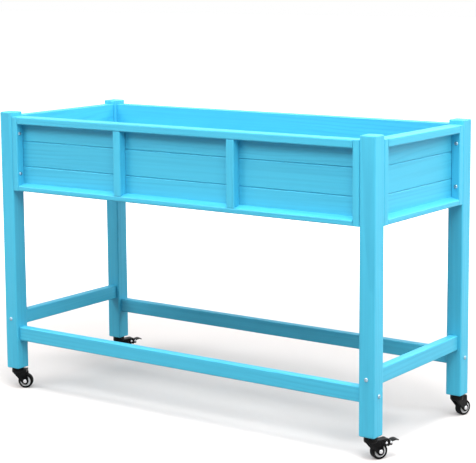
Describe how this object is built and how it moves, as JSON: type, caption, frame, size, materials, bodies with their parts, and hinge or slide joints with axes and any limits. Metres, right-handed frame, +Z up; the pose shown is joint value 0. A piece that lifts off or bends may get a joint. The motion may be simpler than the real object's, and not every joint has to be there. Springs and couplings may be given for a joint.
{
  "type": "rolling planter",
  "caption": "Raised rectangular planter trough of framed boards on tall square posts with low stretchers, standing on swivel casters with foot brakes on opposite corners.",
  "frame": {"origin": "on the floor, at the centre of the rectangle that the four posts stand on", "axes": "+X along the length to the right as seen from the front, +Y from the front to the back, +Z up"},
  "size_m": [1.2614, 0.556, 0.806],
  "materials": {
    "boards": "sky blue paint, satin, with a fine embossed wood grain",
    "caster_metal": "black, semi-gloss",
    "brake_black": "black moulded, semi-gloss",
    "tyre": "black tread with a light grey core face",
    "wheel_core": "light grey, moulded",
    "bright_steel": "zinc-bright, polished"
  },
  "bodies": {
    "planter_frame": {"post_front_left": "boards", "post_front_right": "boards", "post_back_right": "boards", "post_back_left": "boards", "stile_front_left": "boards", "stile_front_right": "boards", "top_rail_front": "boards", "bottom_rail_front": "boards", "divider_front_1": "boards", "divider_front_2": "boards", "board_front_1": "boards", "board_front_2": "boards", "board_front_3": "boards", "stretcher_front": "boards", "stile_right_front": "boards", "stile_right_back": "boards", "top_rail_right": "boards", "bottom_rail_right": "boards", "board_right_1": "boards", "board_right_2": "boards", "board_right_3": "boards", "stretcher_right": "boards", "stile_back_right": "boards", "stile_back_left": "boards", "top_rail_back": "boards", "bottom_rail_back": "boards", "divider_back_1": "boards", "divider_back_2": "boards", "board_back_1": "boards", "board_back_2": "boards", "board_back_3": "boards", "stretcher_back": "boards", "stile_left_back": "boards", "stile_left_front": "boards", "top_rail_left": "boards", "bottom_rail_left": "boards", "board_left_1": "boards", "board_left_2": "boards", "board_left_3": "boards", "stretcher_left": "boards", "floor_panel": "boards", "caster_plate_front_left": "caster_metal", "caster_plate_front_right": "caster_metal", "caster_plate_back_right": "caster_metal", "caster_plate_back_left": "caster_metal"},
    "swivel_front_left": {"caster_fork_front_left": "caster_metal", "caster_axle_front_left": "bright_steel"},
    "wheel_front_left": {"caster_wheel_front_left": "tyre"},
    "swivel_front_right": {"caster_fork_front_right": "caster_metal", "caster_axle_front_right": "bright_steel"},
    "wheel_front_right": {"caster_wheel_front_right": "tyre"},
    "brake_front_right": {"brake_lever_front_right": "brake_black"},
    "swivel_back_right": {"caster_fork_back_right": "caster_metal", "caster_axle_back_right": "bright_steel"},
    "wheel_back_right": {"caster_wheel_back_right": "tyre"},
    "swivel_back_left": {"caster_fork_back_left": "caster_metal", "caster_axle_back_left": "bright_steel"},
    "wheel_back_left": {"caster_wheel_back_left": "tyre"},
    "brake_back_left": {"brake_lever_back_left": "brake_black"}
  },
  "joints": [
    {"name": "swivel_turn_front_left", "type": "hinge", "parent": "planter_frame", "child": "swivel_front_left", "pos_m": [-0.59375, -0.22775, 0.051], "axis": [0, 0, 1], "continuous": true},
    {"name": "wheel_roll_front_left", "type": "hinge", "parent": "swivel_front_left", "child": "wheel_front_left", "pos_m": [-0.57426, -0.2165, 0.021], "axis": [-0.5, 0.866, 0], "continuous": true},
    {"name": "swivel_turn_front_right", "type": "hinge", "parent": "planter_frame", "child": "swivel_front_right", "pos_m": [0.59375, -0.22775, 0.051], "axis": [0, 0, 1], "continuous": true},
    {"name": "wheel_roll_front_right", "type": "hinge", "parent": "swivel_front_right", "child": "wheel_front_right", "pos_m": [0.605, -0.20826, 0.021], "axis": [-0.866, 0.5, 0], "continuous": true},
    {"name": "brake_press_front_right", "type": "hinge", "parent": "swivel_front_right", "child": "brake_front_right", "pos_m": [0.61291, -0.19457, 0.04139], "axis": [-0.866, 0.5, 0], "range_deg": [0, 14]},
    {"name": "swivel_turn_back_right", "type": "hinge", "parent": "planter_frame", "child": "swivel_back_right", "pos_m": [0.59375, 0.22775, 0.051], "axis": [0, 0, 1], "continuous": true},
    {"name": "wheel_roll_back_right", "type": "hinge", "parent": "swivel_back_right", "child": "wheel_back_right", "pos_m": [0.60145, 0.24889, 0.021], "axis": [-0.9397, 0.342, 0], "continuous": true},
    {"name": "swivel_turn_back_left", "type": "hinge", "parent": "planter_frame", "child": "swivel_back_left", "pos_m": [-0.59375, 0.22775, 0.051], "axis": [0, 0, 1], "continuous": true},
    {"name": "wheel_roll_back_left", "type": "hinge", "parent": "swivel_back_left", "child": "wheel_back_left", "pos_m": [-0.58424, 0.24814, 0.021], "axis": [-0.9063, 0.4226, 0], "continuous": true},
    {"name": "brake_press_back_left", "type": "hinge", "parent": "swivel_back_left", "child": "brake_back_left", "pos_m": [-0.57756, 0.26247, 0.04139], "axis": [-0.9063, 0.4226, 0], "range_deg": [0, 14]}
  ]
}
